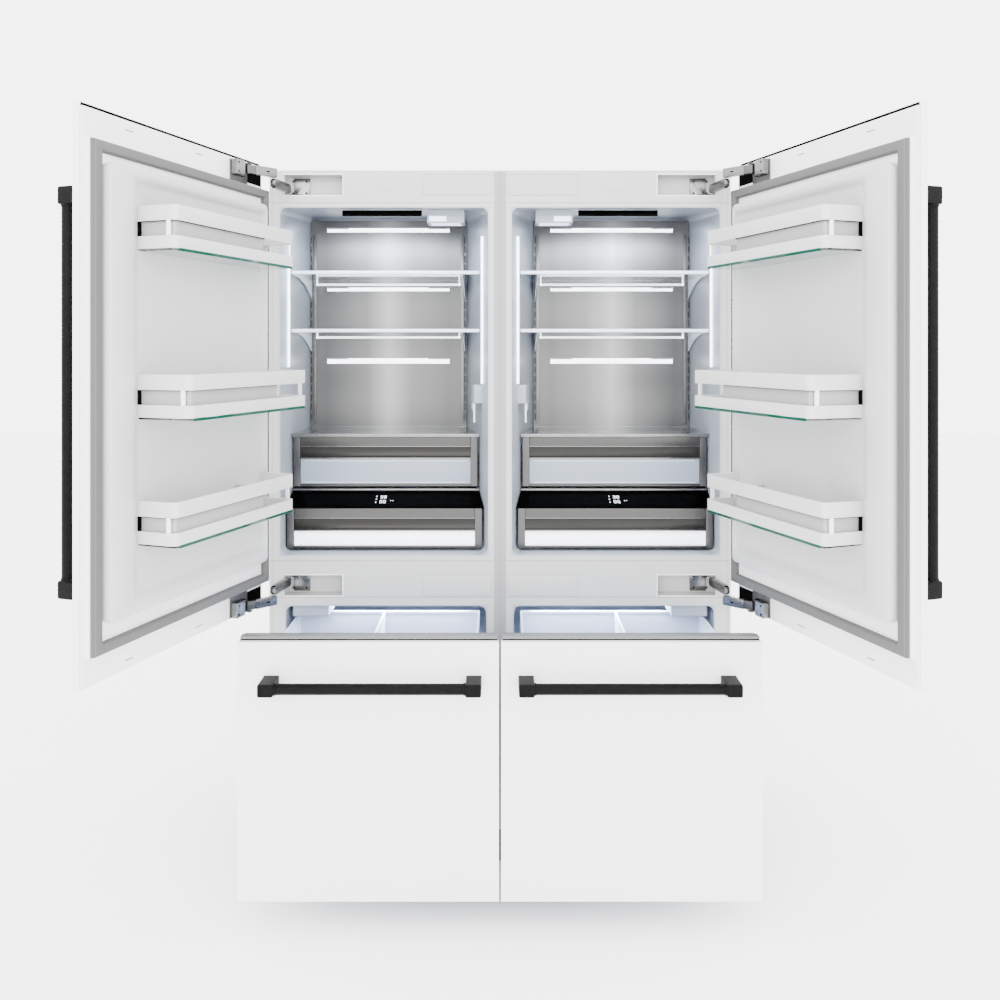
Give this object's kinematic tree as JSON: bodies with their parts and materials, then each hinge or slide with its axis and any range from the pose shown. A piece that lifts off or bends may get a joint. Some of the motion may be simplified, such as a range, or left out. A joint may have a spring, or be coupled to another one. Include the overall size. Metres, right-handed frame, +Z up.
{
  "type": "refrigerator",
  "caption": "Paired built-in column refrigerator with mirrored hinged doors over pull-out freezer drawers, bar handles, glass shelves, door bins and crispers.",
  "frame": {"origin": "on the floor, midway between the two units, in the plane of the cabinet's face, under the middle of the toe board", "axes": "+Z up, +Y into the cabinet from its face, +X to the viewer's right"},
  "size_m": [2.092, 1.3858, 2.19],
  "materials": {
    "white_panel": "satin",
    "white_frame": "satin",
    "casing_steel": "satin",
    "liner_plastic": "smooth",
    "bin_rail": "smooth",
    "foam": "matte",
    "gasket_rubber": "matte",
    "black_metal": "matte black",
    "hinge_chrome": "polished",
    "duct_steel": "brushed",
    "runner_steel": "zinc plated",
    "clear_glass": "clear",
    "black_glass": "gloss",
    "lamp_diffuser": "frosted",
    "frosted_plastic": "frosted",
    "cooling_metal": "matte"
  },
  "bodies": {
    "cabinet": {"casings": "casing_steel", "face_frames": "white_frame", "joining_strip": "white_frame", "fridge_liners": "liner_plastic", "freezer_liners": "liner_plastic", "insulation_blocks": "foam", "plinth": "black_metal", "levelling_feet": "runner_steel", "cooling_sets": "cooling_metal", "duct_panels": "duct_steel", "lamp_lenses": "lamp_diffuser", "shelf_frames": "bin_rail", "shelf_glass": "clear_glass", "control_panels": "black_glass", "wall_housings": "liner_plastic", "hinge_plates": "hinge_chrome", "drawer_runners": "runner_steel", "ice_makers": "liner_plastic"},
    "left_door": {"left_door_panel": "white_panel", "left_door_body": "white_frame", "left_door_gasket": "gasket_rubber", "left_door_liner": "liner_plastic", "left_door_bin_rails": "bin_rail", "left_door_bin_glass": "clear_glass", "left_door_handle": "black_metal", "left_door_hinge_cups": "hinge_chrome"},
    "left_hinge_cabinet_arm": {"left_cabinet_arms": "hinge_chrome"},
    "left_hinge_door_arm": {"left_door_arms": "hinge_chrome"},
    "left_freezer_drawer": {"left_drawer_panel": "white_panel", "left_drawer_body": "white_frame", "left_drawer_gasket": "gasket_rubber", "left_freezer_basket": "frosted_plastic", "left_drawer_slides": "runner_steel", "left_drawer_handle": "black_metal"},
    "left_upper_crisper": {"left_upper_crisper_front": "duct_steel", "left_upper_crisper_bin": "frosted_plastic"},
    "left_lower_crisper": {"left_lower_crisper_front": "duct_steel", "left_lower_crisper_bin": "frosted_plastic"},
    "left_water_paddle": {"left_dispenser_paddle": "liner_plastic"},
    "right_door": {"right_door_panel": "white_panel", "right_door_body": "white_frame", "right_door_gasket": "gasket_rubber", "right_door_liner": "liner_plastic", "right_door_bin_rails": "bin_rail", "right_door_bin_glass": "clear_glass", "right_door_handle": "black_metal", "right_door_hinge_cups": "hinge_chrome"},
    "right_hinge_cabinet_arm": {"right_cabinet_arms": "hinge_chrome"},
    "right_hinge_door_arm": {"right_door_arms": "hinge_chrome"},
    "right_freezer_drawer": {"right_drawer_panel": "white_panel", "right_drawer_body": "white_frame", "right_drawer_gasket": "gasket_rubber", "right_freezer_basket": "frosted_plastic", "right_drawer_slides": "runner_steel", "right_drawer_handle": "black_metal"},
    "right_upper_crisper": {"right_upper_crisper_front": "duct_steel", "right_upper_crisper_bin": "frosted_plastic"},
    "right_lower_crisper": {"right_lower_crisper_front": "duct_steel", "right_lower_crisper_bin": "frosted_plastic"},
    "right_water_paddle": {"right_dispenser_paddle": "liner_plastic"}
  },
  "joints": [
    {"name": "left_door_swing", "type": "hinge", "parent": "cabinet", "child": "left_door", "pos_m": [-0.749, -0.0554, 0], "axis": [0, 0, -1], "range_deg": [-108.1, 7]},
    {"name": "left_cabinet_arm_pivot", "type": "hinge", "parent": "cabinet", "child": "left_hinge_cabinet_arm", "pos_m": [-0.67, -0.01, 0], "axis": [0, 0, -1], "range_deg": [-128.99, 9.29]},
    {"name": "left_door_arm_pivot", "type": "hinge", "parent": "left_door", "child": "left_hinge_door_arm", "pos_m": [-0.74922, -0.17, 0], "axis": [0, 0, -1], "range_deg": [-8.1, 110.7]},
    {"name": "left_drawer_slide", "type": "slide", "parent": "cabinet", "child": "left_freezer_drawer", "axis": [0, -1, 0], "range_m": [-0.285, 0.095]},
    {"name": "left_upper_crisper_slide", "type": "slide", "parent": "cabinet", "child": "left_upper_crisper", "axis": [0, -1, 0], "range_m": [0, 0.22]},
    {"name": "left_lower_crisper_slide", "type": "slide", "parent": "cabinet", "child": "left_lower_crisper", "axis": [0, -1, 0], "range_m": [0, 0.26]},
    {"name": "left_paddle_press", "type": "hinge", "parent": "cabinet", "child": "left_water_paddle", "pos_m": [-0.0827, 0.125, 1.437], "axis": [0, 1, 0], "range_deg": [-12, 0], "stiffness_Nm_per_rad": 0.2},
    {"name": "right_door_swing", "type": "hinge", "parent": "cabinet", "child": "right_door", "pos_m": [0.749, -0.0554, 0], "axis": [0, 0, 1], "range_deg": [-108.1, 7]},
    {"name": "right_cabinet_arm_pivot", "type": "hinge", "parent": "cabinet", "child": "right_hinge_cabinet_arm", "pos_m": [0.67, -0.01, 0], "axis": [0, 0, 1], "range_deg": [-128.99, 9.29]},
    {"name": "right_door_arm_pivot", "type": "hinge", "parent": "right_door", "child": "right_hinge_door_arm", "pos_m": [0.74922, -0.17, 0], "axis": [0, 0, 1], "range_deg": [-8.1, 110.7]},
    {"name": "right_drawer_slide", "type": "slide", "parent": "cabinet", "child": "right_freezer_drawer", "axis": [0, -1, 0], "range_m": [-0.285, 0.095]},
    {"name": "right_upper_crisper_slide", "type": "slide", "parent": "cabinet", "child": "right_upper_crisper", "axis": [0, -1, 0], "range_m": [0, 0.22]},
    {"name": "right_lower_crisper_slide", "type": "slide", "parent": "cabinet", "child": "right_lower_crisper", "axis": [0, -1, 0], "range_m": [0, 0.26]},
    {"name": "right_paddle_press", "type": "hinge", "parent": "cabinet", "child": "right_water_paddle", "pos_m": [0.0827, 0.125, 1.437], "axis": [0, -1, 0], "range_deg": [-12, 0], "stiffness_Nm_per_rad": 0.2}
  ],
  "couplings": [
    {"joint": "left_cabinet_arm_pivot", "follows": "left_door_swing", "ratio": 1.184},
    {"joint": "left_door_arm_pivot", "follows": "left_door_swing", "ratio": -1.0148},
    {"joint": "right_cabinet_arm_pivot", "follows": "right_door_swing", "ratio": 1.184},
    {"joint": "right_door_arm_pivot", "follows": "right_door_swing", "ratio": -1.0148}
  ]
}
